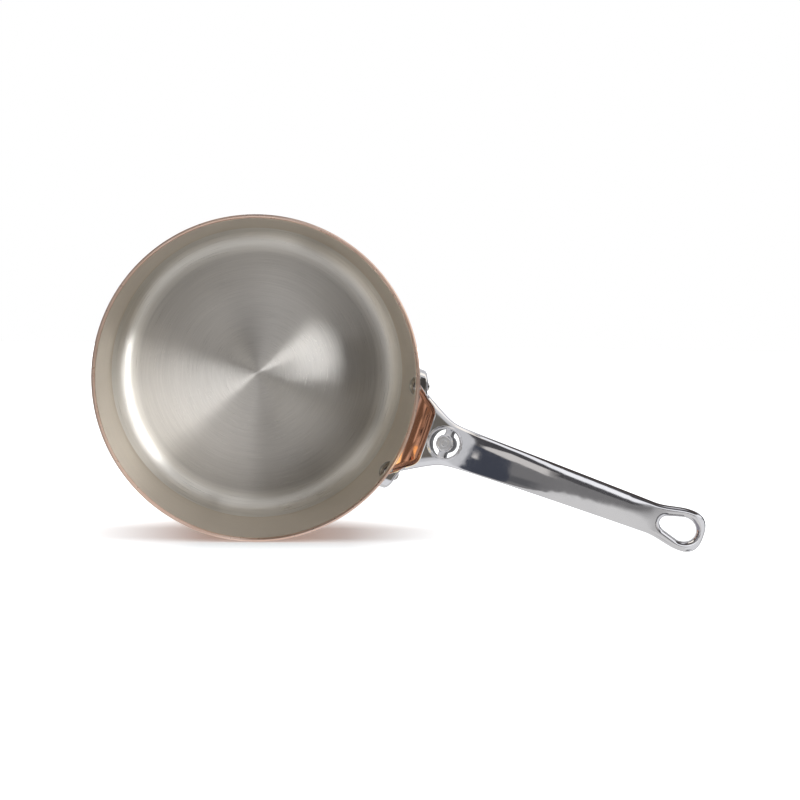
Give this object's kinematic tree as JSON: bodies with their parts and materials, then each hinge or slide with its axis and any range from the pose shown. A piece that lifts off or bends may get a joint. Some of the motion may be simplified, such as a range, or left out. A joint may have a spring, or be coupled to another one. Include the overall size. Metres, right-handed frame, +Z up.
{
  "type": "saucepan",
  "caption": "Straight-sided copper saucepan with a steel lining and a long riveted cast handle that ends in a hanging eye.",
  "frame": {"origin": "centre of the flat face on the underside of the base", "axes": "+Z up through the open mouth, +X from the pan's axis out along the handle, +Y to the left of the handle seen from its tip"},
  "size_m": [0.381, 0.2, 0.1595],
  "materials": {
    "copper": "polished",
    "lining_steel": "satin",
    "cast_steel": "polished",
    "rivet_steel": "polished"
  },
  "bodies": {
    "root": {"copper_shell": "copper", "steel_lining": "lining_steel", "handle": "cast_steel", "rivet_left": "rivet_steel", "rivet_right": "rivet_steel"}
  },
  "joints": []
}
